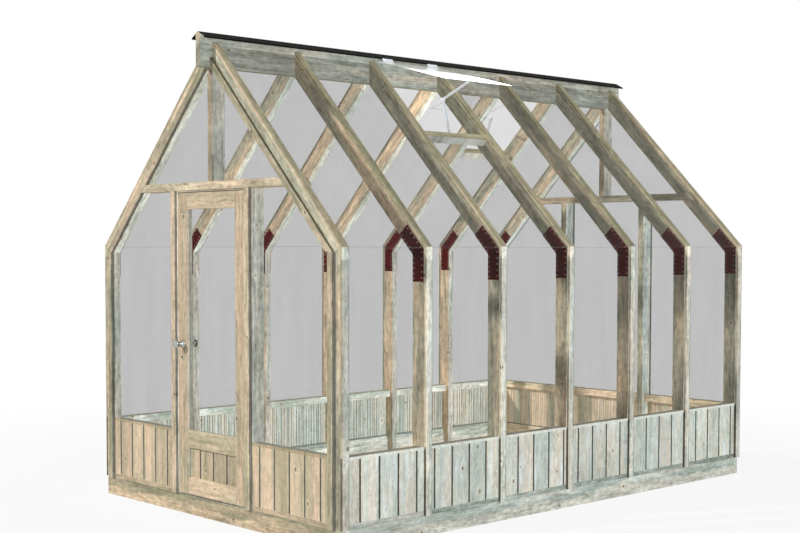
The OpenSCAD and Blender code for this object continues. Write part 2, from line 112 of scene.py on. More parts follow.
# a node tree, with short names for the nodes that are used often
class Graph:
    def __init__(self, tree):
        self.tree = tree

    def node(self, kind, settings, sockets, out=0):
        made = self.tree.nodes.new(kind)
        for key, value in settings.items():
            if key == "stops":
                while len(made.color_ramp.elements) < len(value):
                    made.color_ramp.elements.new(0.5)
                for element, (place, colour) in zip(made.color_ramp.elements, value):
                    element.position = place
                    element.color = colour
            else:
                setattr(made, key, value)
        self.plug(made, sockets)
        return Wire(self, made.outputs[out])

    def plug(self, node, sockets):
        for key, value in sockets.items():
            if isinstance(value, Wire):
                self.tree.links.new(value.socket, node.inputs[key])
            else:
                node.inputs[key].default_value = value

    def attribute(self, name, out):
        return self.node("ShaderNodeAttribute", {"attribute_name": name}, {}, out)

    def split(self, vector):
        parts = self.node("ShaderNodeSeparateXYZ", {}, {0: vector})
        return parts, parts.out("Y"), parts.out("Z")

    def join(self, x, y, z):
        return self.node("ShaderNodeCombineXYZ", {}, {0: x, 1: y, 2: z})

    def noise(self, vector, detail, roughness=0.5):
        return self.node(
            "ShaderNodeTexNoise", {},
            {"Vector": vector, "Scale": 1.0, "Detail": detail, "Roughness": roughness})

    def rise(self, value, low, high):
        return self.node(
            "ShaderNodeMapRange", {"interpolation_type": "SMOOTHSTEP"},
            {"Value": value, "From Min": low, "From Max": high})

    def ramp(self, value, places, colours):
        return self.node("ShaderNodeValToRGB", {"stops": list(zip(places, colours))}, {"Fac": value})

    def mix(self, share, first, second):
        return self.node("ShaderNodeMix", {"data_type": "RGBA"}, {0: share, 6: first, 7: second}, 2)

    def scaled(self, colour, factor):
        return self.node("ShaderNodeVectorMath", {"operation": "SCALE"}, {0: colour, "Scale": factor})

    def bump(self, height, distance, strength):
        return self.node("ShaderNodeBump", {}, {"Height": height, "Distance": distance, "Strength": strength})


def newFinish(name, sockets):
    material = bpy.data.materials.new(name)
    material.use_nodes = True
    graph = Graph(material.node_tree)
    shader = material.node_tree.nodes["Principled BSDF"]
    graph.plug(shader, sockets)
    return material, graph, shader


# noise swings about its mean
mean = 0.5
# wood finishes; zones run from mossy to warm, "pale" zones lie on faces that look sideways, a paler cooler
# copy of the colour that is painted light
woodLook = {
    # scale along and across, shift, detail and roughness of each layer of noise
    "layers": {
        "zone": (1.3, 15.0, 0.0, 2.0, 0.5),
        "mid": (3.6, 48.0, 1.7, 2.0, 0.5),
        "fine": (9.0, 120.0, 2.9, 2.0, 0.5),
        "fibre": (24.0, 480.0, 4.1, 1.0, 0.5),
        "stain": (4.0, 11.0, 7.3, 4.0, 0.65),
        "mottle": (22.0, 38.0, 3.1, 2.0, 0.6),
        "speck": (50.0, 110.0, 5.7, 2.0, 0.5),
        "figure": (11.0, 26.0, 8.9, 2.0, 0.5),
        "cloud": (2.4, 4.0, 6.1, 2.0, 0.5),
    },
    "zonePlaces": (0.36, 0.46, 0.55, 0.66), "warmth": 0.2,
    "stained": (0.48, 0.68), "mossed": (0.5, 0.7), "brightened": (0.5, 0.34), "bright": rgb(222, 229, 226),
    "oliveLow": 0.2, "oliveShare": 0.9, "oliveMost": 0.8,
    "splashed": "sill_timber", "splash": (0.066, 0.046), "splashUneven": 0.13, "splashLow": 0.4,
    "knotsAlong": 3.4, "knotsAcross": 9.0, "knotsLoose": 0.85, "knotShare": 0.5, "knotStep": 0.02,
    "knotSmall": 0.003, "knotGrow": 0.007, "knotRound": 0.45, "tiny": 1e-7, "swirl": 7.0,
    "knot": rgb(96, 72, 52), "core": (0.4, 1.1), "coreShare": 0.85,
    "halo": rgb(214, 202, 178), "haloReach": (1.0, 2.6), "haloShare": 0.3,
    "ringStep": 0.55, "ringUneven": 2.4, "ringRise": (0.05, 0.5), "ringReach": (2.0, 6.0),
    "midShare": 0.36, "fineShare": 0.24, "mottleShare": 0.34, "fibreShare": 0.1,
    "tintLow": 0.9, "tintShare": 0.2, "dirtAndShadeShare": 0.84, "specks": (0.6, 0.74), "speckShare": 0.28,
    "lineWide": 0.0005, "lineStains": (0.44, 0.6), "lineShare": 0.26,
    "specular": 0.15, "roughLow": 0.6, "roughShare": 0.2,
    "bump": 0.0007, "bumpStrength": 0.6, "bumpMid": 0.4, "bumpFine": 0.4, "bumpFibre": 0.2, "bumpCore": 0.4,
}
woodTints = {
    "timber": {
        "zones": [rgb(156, 153, 134), rgb(179, 169, 146), rgb(195, 177, 150), rgb(207, 181, 152)],
        "pale": [rgb(178, 187, 181), rgb(190, 197, 190), rgb(201, 203, 193), rgb(209, 204, 192)],
        "stain": rgb(131, 130, 114), "moss": rgb(150, 156, 142), "olive": rgb(152, 147, 118),
        "grain": 3.4, "stainShare": 0.6, "paleShare": 0.95, "cloud": 0.8, "brightShare": 0.4, "rings": 0.3},
    "sill_timber": {
        "zones": [rgb(141, 136, 111), rgb(161, 153, 127), rgb(178, 165, 139), rgb(195, 174, 147)],
        "pale": [rgb(160, 171, 163), rgb(176, 184, 176), rgb(189, 192, 183), rgb(199, 196, 185)],
        "stain": rgb(132, 129, 106), "moss": rgb(146, 156, 142), "olive": rgb(144, 140, 112),
        "grain": 3.0, "stainShare": 0.5, "paleShare": 0.95, "cloud": 0.5, "brightShare": 0.7, "rings": 0.25},
    "laths": {
        "zones": [rgb(158, 151, 125), rgb(178, 168, 142), rgb(192, 177, 151), rgb(203, 182, 156)],
        "pale": [rgb(184, 189, 180), rgb(196, 198, 188), rgb(206, 203, 190), rgb(212, 204, 190)],
        "stain": rgb(136, 132, 110), "moss": rgb(152, 157, 143), "olive": rgb(150, 145, 116),
        "grain": 3.0, "stainShare": 0.5, "paleShare": 0.95, "cloud": 0.6, "brightShare": 0.3, "rings": 0.25},
    "boards": {
        "zones": [rgb(173, 163, 134), rgb(190, 175, 148), rgb(202, 183, 156), rgb(213, 187, 161)],
        "pale": [rgb(192, 202, 194), rgb(201, 206, 197), rgb(210, 209, 196), rgb(216, 209, 194)],
        "stain": rgb(152, 145, 120), "moss": rgb(174, 178, 169), "olive": rgb(176, 168, 138),
        "grain": 1.6, "stainShare": 0.45, "paleShare": 0.97,
        "cloud": 0.35, "brightShare": 0.75, "rings": 0.2},
    "door_timber": {
        "zones": [rgb(176, 166, 138), rgb(193, 178, 151), rgb(203, 183, 155), rgb(212, 187, 160)],
        "pale": [rgb(178, 187, 179), rgb(190, 196, 186), rgb(201, 200, 186), rgb(208, 200, 185)],
        "stain": rgb(154, 146, 120), "moss": rgb(152, 157, 143), "olive": rgb(166, 158, 128),
        "grain": 2.2, "stainShare": 0.45, "paleShare": 0.9, "cloud": 0.3, "brightShare": 0.3, "rings": 0.2},
}


def woodFinish(name, tints):
    look = woodLook
    material, wood, shader = newFinish(name, {"Specular IOR Level": look["specular"]})
    along, across, member = wood.split(wood.attribute("grain", "Vector"))
    tint, warmth, facing = wood.split(wood.attribute("tone", "Vector"))
    dirt = wood.attribute("dirt", "Fac")

    def layer(title, line):
        scaleU, scaleV, shift, detail, roughness = look["layers"][title]
        return wood.noise(wood.join(along * scaleU, line * scaleV, member + shift), detail, roughness)

    # knots sit in long cells; the grain flows round them
    cell = wood.node(
        "ShaderNodeTexVoronoi", {"voronoi_dimensions": "2D"},
        {"Vector": wood.join(along * look["knotsAlong"], across * look["knotsAcross"], 0.0),
         "Scale": 1.0, "Randomness": look["knotsLoose"]}, "Position")
    knotU, knotV, _ = wood.split(cell)
    size, chance, _ = wood.split(cell.out("Color"))
    offU = along - knotU / look["knotsAlong"]
    offV = across - knotV / look["knotsAcross"]
    radius = size * look["knotGrow"] + look["knotSmall"]
    away = offU * offU * look["knotRound"] + offV * offV + look["tiny"]
    present = wood.rise(chance, look["knotShare"], look["knotShare"] + look["knotStep"])
    flow = across - offV * (radius * radius * look["swirl"] / away).least(1.0) * present
    # zones of colour, then grain lines, stains and specks
    zone = layer("zone", flow) + (warmth - mean) * look["warmth"]
    mid, fine, fibre = layer("mid", flow), layer("fine", flow), layer("fibre", flow)
    stain, mottle, speck = layer("stain", across), layer("mottle", across), layer("speck", across)
    figure = layer("figure", flow) - mean
    cloud = layer("cloud", across) - mean
    colour = wood.ramp(zone, look["zonePlaces"], tints["zones"])
    colour = wood.mix(wood.rise(stain, *look["stained"]) * tints["stainShare"], colour, tints["stain"])
    # sideways faces get a paler, cooler copy of the colour, painted light; upward faces are mossy
    paintedSideLight = facing.most(0.0)
    paintedSideColour = wood.ramp(zone, look["zonePlaces"], tints["pale"])
    paintedSideColour = wood.mix(wood.rise(stain, *look["mossed"]) * tints["stainShare"], paintedSideColour, tints["moss"])
    brightened = wood.rise(stain, *look["brightened"]) * tints["brightShare"]
    paintedSideColour = wood.mix(brightened, paintedSideColour, look["bright"])
    colour = wood.mix(paintedSideLight * tints["paleShare"], colour, paintedSideColour)
    growth = (stain * look["oliveShare"] + look["oliveLow"]).least(look["oliveMost"])
    mossy = (0.0 - facing).most(0.0) * growth
    colour = wood.mix(mossy, colour, tints["olive"])
    if name == look["splashed"]:
        height = wood.split(wood.node("ShaderNodeTexCoord", {}, {}, "Object"))[2]
        splash = wood.rise(height + (stain - mean) * look["splashUneven"], *look["splash"])
        dry = wood.mix(paintedSideLight, tints["zones"][-1], tints["pale"][-1])
        colour = wood.mix(splash * (mottle + look["splashLow"]).least(1.0), colour, dry)
    reach = away ** 0.5 / radius
    halo = (1.0 - wood.rise(reach, *look["haloReach"])) * present * look["haloShare"]
    colour = wood.mix(halo, colour, look["halo"])
    core = (1.0 - wood.rise(reach, *look["core"])) * present
    colour = wood.mix(core * look["coreShare"], colour, look["knot"])
    curl = reach + (mid - mean) * look["ringUneven"]
    rings = wood.rise(curl.maths("PINGPONG", curl, look["ringStep"]), *look["ringRise"]) - mean
    rings = rings * (1.0 - wood.rise(reach, *look["ringReach"])) * present
    body = (mid - mean) * look["midShare"] + (fine - mean) * look["fineShare"]
    body = body + (mottle - mean) * look["mottleShare"] + (fibre - mean) * look["fibreShare"]
    lightness = (tint * look["tintShare"] + look["tintLow"]) * (body * tints["grain"] + 1.0)
    # darker where the dirt attribute holds dirt or painted shade
    lightness = lightness * (1.0 - dirt * look["dirtAndShadeShare"]) * (cloud * tints["cloud"] + 1.0)
    lightness = lightness * (1.0 - wood.rise(speck, *look["specks"]) * look["speckShare"])
    # thin pale figure lines, where the wood is stained
    lines = (1.0 - wood.rise(figure * figure, 0.0, look["lineWide"])) * wood.rise(stain, *look["lineStains"])
    lightness = lightness * (lines * look["lineShare"] + 1.0) * (rings * tints["rings"] + 1.0)
    relief = mid * look["bumpMid"] + fine * look["bumpFine"] + fibre * look["bumpFibre"]
    wood.plug(shader, {
        "Base Color": wood.scaled(colour, lightness),
        "Roughness": fine * look["roughShare"] + look["roughLow"],
        "Normal": wood.bump(relief - core * look["bumpCore"], look["bump"], look["bumpStrength"]),
    })
    return material


finishes = {slot: woodFinish(slot, tints) for slot, tints in woodTints.items()}
print("wood finishes:", len(finishes))


# glass, and its ground edges; the vent panes lie nearly flat, and at a low angle they turn an opaque
# near-white, a painted reflection of the sky
glassLook = {
    # scale along and across, detail and roughness of each noise
    "smears": (1.1, 6.0, 4.0, 0.6), "dusts": (40.0, 40.0, 2.0, 0.5), "chips": (60.0, 60.0, 3.0, 0.5),
    "smear": 0.06, "smearRough": 0.08, "dust": 0.012, "blend": 0.5,
    "chipPlaces": (0.3, 0.6), "chipShade": 0.7, "edgeRough": 0.25,
    "panes": {
        "glass": {
            "colour": rgb(40, 42, 42), "alpha": 0.16, "low": 0.8, "high": 1.0, "rise": 0.5,
            "gloss": 0.2, "rough": 0.04},
        "ventGlass": {
            "colour": rgb(254, 252, 240), "alpha": 0.03, "low": 0.8, "high": 0.92, "rise": 0.95,
            "gloss": 0.5, "rough": 0.05},
    },
    "edges": {
        "glassEdge": {"colour": rgb(138, 146, 138), "alpha": 0.5},
        "glassLap": {"colour": rgb(226, 229, 222), "alpha": 0.7},
        "gableLap": {"colour": rgb(176, 164, 130), "alpha": 0.5},
    },
}


def glassNoise(glass, scaleU, scaleV, detail, roughness):
    along, across, member = glass.split(glass.attribute("grain", "Vector"))
    return glass.noise(glass.join(along * scaleU, across * scaleV, member), detail, roughness)


def glassFinish(name, look, pane):
    material, glass, shader = newFinish(
        name, {"Base Color": pane["colour"], "Specular IOR Level": pane["gloss"]})
    smear = glassNoise(glass, *look["smears"])
    dust = glassNoise(glass, *look["dusts"])
    facing = glass.node("ShaderNodeLayerWeight", {}, {"Blend": look["blend"]}, "Facing")
    clear = (smear - mean) * look["smear"] + (dust - mean) * look["dust"] + pane["alpha"]
    glass.plug(shader, {
        # alpha rises at a low angle; on the vent panes it shows their near-white colour, a painted reflection
        # of the sky
        "Alpha": clear + glass.rise(facing, pane["low"], pane["high"]) * pane["rise"],
        "Roughness": smear * look["smearRough"] + pane["rough"],
    })
    return material


def glassEdgeFinish(name, look, edge):
    material, glass, shader = newFinish(name, {"Alpha": edge["alpha"], "Roughness": look["edgeRough"]})
    chips = glassNoise(glass, *look["chips"])
    shades = [tuple(look["chipShade"] * value for value in edge["colour"]), edge["colour"]]
    glass.plug(shader, {"Base Color": glass.ramp(chips, look["chipPlaces"], shades)})
    return material


for name, pane in glassLook["panes"].items():
    finishes[name] = glassFinish(name, glassLook, pane)
for name, edge in glassLook["edges"].items():
    finishes[name] = glassEdgeFinish(name, glassLook, edge)


# metal finishes; each has a paint or plate colour that varies a little
metalLook = {
    "knee_steel": {
        "colours": (rgb(52, 2, 0), rgb(104, 10, 2)), "metallic": 0.0, "specular": 0.02,
        "rough": (0.6, 0.7), "scale": 18.0, "stretch": 3.0, "bump": 0.0003},
    "nailSteel": {
        "colours": (rgb(190, 172, 164), rgb(226, 208, 198)), "metallic": 0.2, "specular": 0.3,
        "rough": (0.35, 0.5), "scale": 160.0, "stretch": 1.0, "bump": 0.0001},
    "ridge_metal": {
        "colours": (rgb(11, 11, 9), rgb(34, 33, 28)), "metallic": 0.0, "specular": 0.02,
        "rough": (0.7, 0.8), "scale": 26.0, "stretch": 0.06, "bump": 0.0003},
    "vent_metal": {
        "colours": (rgb(206, 212, 222), rgb(240, 243, 246)), "metallic": 0.2, "specular": 0.5,
        "rough": (0.25, 0.42), "scale": 60.0, "stretch": 4.0, "bump": 0.0001},
    "hinge_steel": {
        "colours": (rgb(150, 152, 154), rgb(196, 197, 198)), "metallic": 0.9, "specular": 0.5,
        "rough": (0.28, 0.45), "scale": 90.0, "stretch": 6.0, "bump": 0.0001},
    "knob_metal": {
        "colours": (rgb(150, 155, 153), rgb(186, 190, 188)), "metallic": 1.0, "specular": 0.5,
        "rough": (0.1, 0.22), "scale": 70.0, "stretch": 1.0, "bump": 0.00004},
    "lockMetal": {
        "colours": (rgb(150, 150, 126), rgb(190, 190, 164)), "metallic": 0.4, "specular": 0.4,
        "rough": (0.35, 0.5), "scale": 90.0, "stretch": 1.0, "bump": 0.00006},
    "keyhole": {
        "colours": (rgb(30, 30, 34), rgb(58, 58, 64)), "metallic": 0.0, "specular": 0.1,
        "rough": (0.6, 0.7), "scale": 90.0, "stretch": 1.0, "bump": 0.00006},
}
metalGrain = {
    "cloudDetail": 4.0, "cloudUneven": 0.6, "grit": 420.0, "gritDetail": 2.0, "bumpStrength": 0.4,
    "colourGrit": 0.2, "colourPlaces": (0.32, 0.68), "roughGrit": 0.4, "roughPlaces": (0.3, 0.7),
}


def metalFinish(name, look):
    grain = metalGrain
    material, metal, shader = newFinish(
        name, {"Metallic": look["metallic"], "Specular IOR Level": look["specular"]})
    x, y, z = metal.split(metal.node("ShaderNodeTexCoord", {}, {}, "Object"))
    place = metal.join(x * look["scale"], y * look["scale"] * look["stretch"], z * look["scale"])
    cloud = metal.noise(place, grain["cloudDetail"], grain["cloudUneven"])
    grit = metal.noise(
        metal.join(x * grain["grit"], y * grain["grit"], z * grain["grit"]), grain["gritDetail"])

    def blend(share):
        return cloud * (1.0 - share) + grit * share

    colour = metal.ramp(blend(grain["colourGrit"]), grain["colourPlaces"], look["colours"])
    rough = metal.rise(blend(grain["roughGrit"]), *grain["roughPlaces"])
    low, high = look["rough"]
    metal.plug(shader, {
        "Base Color": colour,
        "Roughness": rough * (high - low) + low,
        "Normal": metal.bump(grit, look["bump"], grain["bumpStrength"]),
    })
    return material


for slot, look in metalLook.items():
    finishes[slot] = metalFinish(slot, look)
print("all finishes:", len(finishes))


# solids of the frame, each as its own small mesh with flat faces
up = Vector((0, 0, 1))
weld = 1e-6
flatAngle = math.radians(0.5)
sharpAngle = 0.35
edgeRound = 0.6
grainSpread = 60
# shares of the painted light on sideways faces and of moss on upward faces
sideLightAndMoss = {"side": (0.4, 0.7), "sideTilt": (0.2, 0.6), "up": (0.4, 0.7)}
# a direction that counts as along an axis, and a face that counts as upward
mostly = 0.9
upward = 0.7


def solidsOf(node):
    whole = bmesh.new()
    whole.from_mesh(frame["nodes"][node].data)
    bmesh.ops.remove_doubles(whole, verts=whole.verts, dist=weld)
    bmesh.ops.dissolve_limit(whole, angle_limit=flatAngle, verts=whole.verts, edges=whole.edges)
    whole.faces.ensure_lookup_table()
    found = []
    left = set(range(len(whole.faces)))
    whole.faces.index_update()
    while left:
        group, edge = set(), [min(left)]
        while edge:
            here = edge.pop()
            if here in group:
                continue
            group.add(here)
            for side in whole.faces[here].edges:
                edge.extend(face.index for face in side.link_faces if face.index not in group)
        left -= group
        found.append(copyFaces(whole, sorted(group)))
    whole.free()
    return sorted(found, key=lowCorner)


def copyFaces(whole, group):
    solid = bmesh.new()
    made = {}
    for index in group:
        for vert in whole.faces[index].verts:
            if vert not in made:
                made[vert] = solid.verts.new(vert.co)
        solid.faces.new([made[vert] for vert in whole.faces[index].verts])
    bmesh.ops.recalc_face_normals(solid, faces=solid.faces)
    return solid


def lowCorner(solid):
    return [round(min(vert.co[axis] for vert in solid.verts), 4) for axis in (1, 0, 2)]


def boxOf(solid):
    points = [vert.co for vert in solid.verts]
    low = Vector([min(point[axis] for point in points) for axis in range(3)])
    high = Vector([max(point[axis] for point in points) for axis in range(3)])
    return low, high


def longestRun(solid):
    edge = max(solid.edges, key=lambda side: round(side.calc_length(), 5))
    run = (edge.verts[1].co - edge.verts[0].co).normalized()
    lead = max(range(3), key=lambda axis: abs(run[axis]))
    return run if run[lead] > 0 else -run


def softenEdges(solid, width, steps=2):
    sharp = [edge for edge in solid.edges if edge.is_convex and edge.calc_face_angle(0.0) > sharpAngle]
    bmesh.ops.bevel(
        solid, geom=sharp, offset=width, segments=steps, profile=edgeRound, affect="EDGES",
        clamp_overlap=True)


def slicePlane(solid, place, normal):
    everything = solid.verts[:] + solid.edges[:] + solid.faces[:]
    bmesh.ops.bisect_plane(solid, geom=everything, plane_co=place, plane_no=normal)


# a prism from a closed outline, drawn with a place for each of its points at both ends
def prism(outline, start, end):
    solid = bmesh.new()
    low = [solid.verts.new(start(point)) for point in outline]
    high = [solid.verts.new(end(point)) for point in outline]
    count = len(outline)
    solid.faces.new(low)
    solid.faces.new(high)
    for here in range(count):
        after = (here + 1) % count
        solid.faces.new([low[here], low[after], high[after], high[here]])
    bmesh.ops.recalc_face_normals(solid, faces=solid.faces)
    return solid


def between(value, low, high):
    share = min(1.0, max(0.0, (value - low) / (high - low)))
    return share * share * (3 - 2 * share)


# sideways faces above zero, a share of painted light; upward faces below zero, for moss
def sideLightAndMossOf(normal):
    paintedSideLight = between(abs(normal.x), *sideLightAndMoss["side"]) * (1 - between(normal.z, *sideLightAndMoss["sideTilt"]))
    return paintedSideLight - between(normal.z, *sideLightAndMoss["up"])


# solids that become one piece; each carries its own grain, tone, and darkening by dirt and painted shade
class Pile:
    def __init__(self, name, body, slot, materials):
        self.name, self.body, self.slot, self.materials = name, body, slot, materials
        self.points, self.faces, self.grain = [], [], []
        self.tone, self.dirt, self.paint, self.smooth = [], [], [], []
        self.dice = random.Random(name)

    def add(
        self, solid, run, paint=None, dirt=None, pale=None, lift=None, smooth=False, darker=0.0, cooler=0.0,
    ):
        side = Vector((1, 0, 0)) if abs(run.y) > mostly else Vector((0, 1, 0))
        third = run.cross(side)
        shiftU, shiftV, member = [self.dice.uniform(0, grainSpread) for _ in range(3)]
        tint, warmth = self.dice.random() - darker, self.dice.random() - cooler
        solid.verts.index_update()
        solid.normal_update()
        base = len(self.points)
        for vert in solid.verts:
            self.points.append(vert.co.copy())
            across = vert.co.dot(side) + vert.co.dot(third)
            self.grain.append((vert.co.dot(run) + shiftU, across + shiftV, member))
        for face in solid.faces:
            self.faces.append([base + vert.index for vert in face.verts])
            shade = tint + (lift(face) if lift else 0.0)
            self.tone.append((shade, warmth, pale(face) if pale else sideLightAndMossOf(face.normal)))
            self.dirt.append(dirt(face) if dirt else 0.0)
            self.paint.append(paint(face) if paint else 0)
            self.smooth.append(smooth)
        solid.free()

    def build(self, *replaced):
        mesh = bpy.data.meshes.new(self.name)
        mesh.from_pydata(self.points, [], self.faces)
        for title, kind, domain, values in (
            ("grain", "FLOAT_VECTOR", "POINT", self.grain),
            ("tone", "FLOAT_VECTOR", "FACE", self.tone),
            ("dirt", "FLOAT", "FACE", self.dirt),
        ):
            layer = mesh.attributes.new(title, kind, domain)
            if kind == "FLOAT":
                layer.data.foreach_set("value", values)
            else:
                layer.data.foreach_set("vector", [number for row in values for number in row])
        mesh.polygons.foreach_set("material_index", self.paint)
        mesh.polygons.foreach_set("use_smooth", self.smooth)
        for material in self.materials:
            mesh.materials.append(finishes[material])
        piece = bpy.data.objects.new(self.name, mesh)
        scene.collection.objects.link(piece)
        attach(piece, self.body)
        if replaced:
            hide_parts(*replaced)
        return piece


def camel(node):
    first, *rest = node.split("_")
    return first + "".join(word.capitalize() for word in rest)


def pileFor(node, slot, *materials):
    return Pile(camel(node), bodyOf[node], slot, materials or (slot,))


# framing timbers, with planed and eased edges
timberLook = {
    "ease": 0.0025,
    "nodes": {
        "gable_sills": "sill_timber", "side_sills": "sill_timber",
        "left_posts": "timber", "right_posts": "timber", "left_rafters": "timber", "right_rafters": "timber",
        "ridge_beam": "timber", "front_gable_rail": "timber", "back_gable_rail": "timber",
        "king_posts": "timber", "door_jambs": "timber", "back_studs": "timber",
        "side_apron_rails": "sill_timber", "gable_apron_rails": "sill_timber", "vent_trimmers": "timber",
        "door_stiles": "door_timber", "door_rails": "door_timber",
    },
    "darker": {
        "left_posts": -1.2, "right_posts": -0.5, "left_rafters": -1.1, "right_rafters": -2.1,
        "king_posts": -0.4, "ridge_beam": 0.6, "door_stiles": 0.8, "vent_trimmers": -1.2,
        "front_gable_rail": -2.1, "door_jambs": -0.9, "back_studs": -1.6,
    },
    "cooler": {
        "left_posts": -0.3, "right_posts": 0.3, "left_rafters": -0.1, "right_rafters": 0.4,
        "ridge_beam": 0.7, "door_jambs": 0.2, "front_gable_rail": -0.7, "gable_apron_rails": -1.0,
    },
    "paleShare": {"ridge_beam": 0.6}, "baseTop": 0.16, "baseDarker": 0.9, "baseCooler": 0.5, "basePale": 1.0,
    "cornerDarker": 0.8, "paintedInsideLight": 4.0, "topLift": 1.6, "paintedUnderLight": 2.2, "railTopDarker": 0.45,
    "inward": 0.5, "doorFoot": 0.002, "threshold": 0.02, "doorHead": 0.006, "lineShade": 0.9,
}
doorLow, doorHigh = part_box("door_stiles")


def buildTimbers(look):
    for node, slot in look["nodes"].items():
        pile = pileFor(node, slot)
        solids = solidsOf(node)
        for solid in solids:
            run = longestRun(solid)
            softenEdges(solid, look["ease"])
            low, high = boxOf(solid)
            outward = Vector((low.x + high.x, low.y + high.y, 0)).normalized()
            rail = "apron" in node and high.z > look["baseTop"]
            base = "apron" in node and not rail
            corner = "posts" in node and solid in (solids[0], solids[-1])
            inDoor = bodyOf[node] != "building"
            # painted shadow lines at the foot and the head of the door
            atFoot = node == "door_rails" and high.z < look["baseTop"] * 2
            atHead = inDoor and high.z > doorHigh.z - look["doorHead"]
            foot = low.z + look["doorFoot"] if atFoot else low.z - 1.0
            head = high.z - look["doorHead"] if atHead else high.z + 1.0
            for line in (foot, head) if inDoor else ():
                slicePlane(solid, (0, 0, line), (0, 0, 1))
            # painted shade on the sill in the gap under the door
            underDoor = node == "gable_sills" and low.y < 0
            underDoorShadeBack = doorLow.y + look["threshold"]
            if underDoor:
                slicePlane(solid, (doorLow.x, 0, 0), (1, 0, 0))
                slicePlane(solid, (doorHigh.x, 0, 0), (1, 0, 0))
                slicePlane(solid, (0, underDoorShadeBack, 0), (0, 1, 0))

            def dirt(face):
                middle = face.calc_center_median()
                inJoint = underDoor and doorLow.x < middle.x < doorHigh.x and middle.y < underDoorShadeBack
                if not foot < middle.z < head or (inJoint and face.normal.z > upward):
                    return look["lineShade"]
                # the tops of the apron rails are darker
                return look["railTopDarker"] if rail and face.normal.z > upward else 0.0

            def pale(face):
                if slot == "sill_timber" and not rail and face.normal.z > upward:
                    return look["basePale"]
                return sideLightAndMossOf(face.normal) * look["paleShare"].get(node, 1.0)

            # painted light: the left rafters' inward faces and the sills' inward faces are lightened; sill
            # tops are lightened too
            def lift(face):
                if node == "left_rafters" and face.normal.x > look["inward"]:
                    return look["paintedUnderLight"]
                if slot == "sill_timber" and not rail and face.normal.z > upward:
                    return look["topLift"]
                inside = slot == "sill_timber" and face.normal.dot(outward) < -look["inward"]
                return look["paintedInsideLight"] if inside else 0.0

            shade = look["darker"].get(node, 0.0)
            shade += look["cornerDarker"] if corner else look["baseDarker"] if base else 0.0
            chill = look["cooler"].get(node, look["baseCooler"] if base else 0.0)
            pile.add(solid, run, dirt=dirt, pale=pale, lift=lift, darker=shade, cooler=chill)
        pile.build(node)


buildTimbers(timberLook)
print("timbers:", len(timberLook["nodes"]))


# cover laths; their side faces are darkened with painted shade, on the long walls only beside the boards, and
# a narrow strip at the back of each wall lath's outer face is a painted shadow line
lathLook = {
    # darkness of the painted shade on the lath sides and of the painted shadow line
    "ease": 0.0018, "stain": 0.8, "topPale": 0.068, "topPaleShare": 1.08, "line": 0.007, "lineShade": 0.4,
    "topLift": 1.6, "cornerDarker": 0.7, "wallDarker": -0.7,
    "endFace": 0.8, "wallEdge": 0.8, "gableEdge": 0.4,
    "darker": {"front_gable_laths": 0.2, "rail_laths": -0.8, "back_stud_laths": -1.4},
    "cooler": {"rail_laths": -0.8},
    "nodes": [
        "left_wall_laths", "right_wall_laths", "left_roof_laths", "right_roof_laths", "front_gable_laths",
        "back_gable_laths", "rail_laths", "jamb_laths", "back_stud_laths",
    ],
}
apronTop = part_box("right_cladding")[1].z


def buildLaths(look):
    for node in look["nodes"]:
        pile = pileFor(node, "laths")
        wall, roof = "wall" in node, "roof" in node
        solids = solidsOf(node)
        for solid in solids:
            run = longestRun(solid)
            softenEdges(solid, look["ease"])
            low, high = boxOf(solid)
            top = high.z - look["topPale"]
            corner = wall and solid in (solids[0], solids[-1])
            if wall:
                slicePlane(solid, (0, 0, apronTop), (0, 0, 1))
                slicePlane(solid, (0, 0, top), (0, 0, 1))
                slicePlane(solid, (0, high.y - look["line"], 0), (0, 1, 0))

            # painted shade on the lath sides, and a painted shadow line at the back of a wall lath's outer
            # face
            def dirt(face):
                middle = face.calc_center_median()
                if roof or abs(face.normal.dot(run)) > look["endFace"]:
                    return 0.0
                if wall and abs(face.normal.y) < look["wallEdge"]:
                    return look["lineShade"] if middle.y > high.y - look["line"] else 0.0
                if wall:
                    return look["stain"] if middle.z < apronTop else 0.0
                return look["stain"] if abs(face.normal.y) < look["gableEdge"] else 0.0

            def atTop(face):
                return wall and face.calc_center_median().z > top

            def pale(face):
                return sideLightAndMossOf(face.normal) * (look["topPaleShare"] if atTop(face) else 1.0)

            def lift(face):
                return look["topLift"] if atTop(face) else 0.0

            shade = look["darker"].get(node, look["wallDarker"] if wall else 0.0)
            pile.add(
                solid, run, dirt=dirt, pale=pale, lift=lift, darker=look["cornerDarker"] if corner else shade,
                cooler=look["cooler"].get(node, 0.0))
        pile.build(node)


buildLaths(lathLook)
print("laths:", len(lathLook["nodes"]))


# apron boards, grooved outside and reeded inside
boardLook = {
    "sidePitch": 0.1402, "gablePitch": 0.132, "groove": 0.0064, "grooveDeep": 0.008, "seam": 0.0014,
    "reed": 0.0036, "reedDeep": 0.004, "reedShares": (0.86, 0.69, 0.58, 0.38, 0.2), "reedLeast": 0.1,
    "grooveDirtAndShade": 0.95, "seamDirtAndShade": 1.0, "reedDirtAndShade": 0.55, "topDirt": 0.15, "paintedInsideLight": 2.1, "least": 0.012,
    "doorDarker": 0.7, "doorLine": 0.007, "cooler": {"back_cladding": -0.2, "left_cladding": 0.2},
    "footLine": 0.011, "footDirt": 0.72,
    "topFace": 0.5, "seamFace": 0.98, "grooveFace": 0.2, "insideFace": 0.5,
}


def boardOutline(start, end, thick, look, openStart, openEnd):
    groove, deep, seam = look["groove"], look["grooveDeep"], look["seam"] / 2
    first, last = start + (seam if openStart else 0.0), end - (seam if openEnd else 0.0)
    outer = [(first, thick - deep), (start + groove, thick)] if openStart else [(first, thick)]
    outer += [(end - groove, thick), (last, thick - deep)] if openEnd else [(last, thick)]
    inner = [(last, 0.0)]
    for share in look["reedShares"] if end - start > look["reedLeast"] else ():
        place = start + (end - start) * share
        inner += [(place + look["reed"], 0.0), (place, look["reedDeep"]), (place - look["reed"], 0.0)]
    return outer + inner + [(first, 0.0)]


